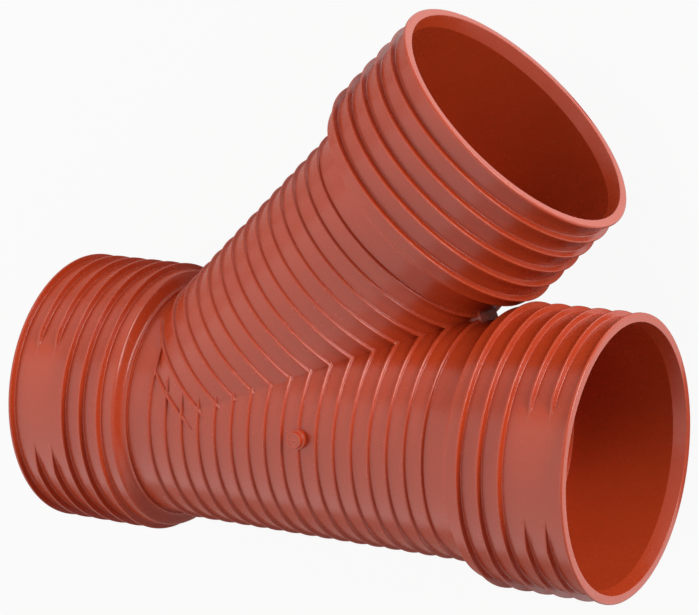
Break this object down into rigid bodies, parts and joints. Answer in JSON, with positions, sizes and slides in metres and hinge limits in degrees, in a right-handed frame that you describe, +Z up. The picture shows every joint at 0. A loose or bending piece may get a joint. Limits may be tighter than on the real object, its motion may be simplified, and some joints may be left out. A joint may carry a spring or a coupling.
{
  "type": "corrugated pipe y-connector",
  "caption": "Y-shaped fitting that joins a side drain pipe to a straight run, ribbed outside and smooth inside, with a deep ribbed socket on each end.",
  "frame": {"origin": "centre of the inlet socket's stop, where the end of the inlet pipe seats, on the axis of the run", "axes": "+X along the run from the inlet to the outlet, +Y towards the side the branch leans to, +Z up as the fitting lies flat, with the axes of the run and the branch in the plane Z = 0"},
  "size_m": [0.5654, 0.4939, 0.248],
  "materials": {
    "moulding": "smooth moulded polypropylene in brick red, with a soft shine"
  },
  "bodies": {
    "root": {"y_connector": "moulding"}
  },
  "joints": []
}
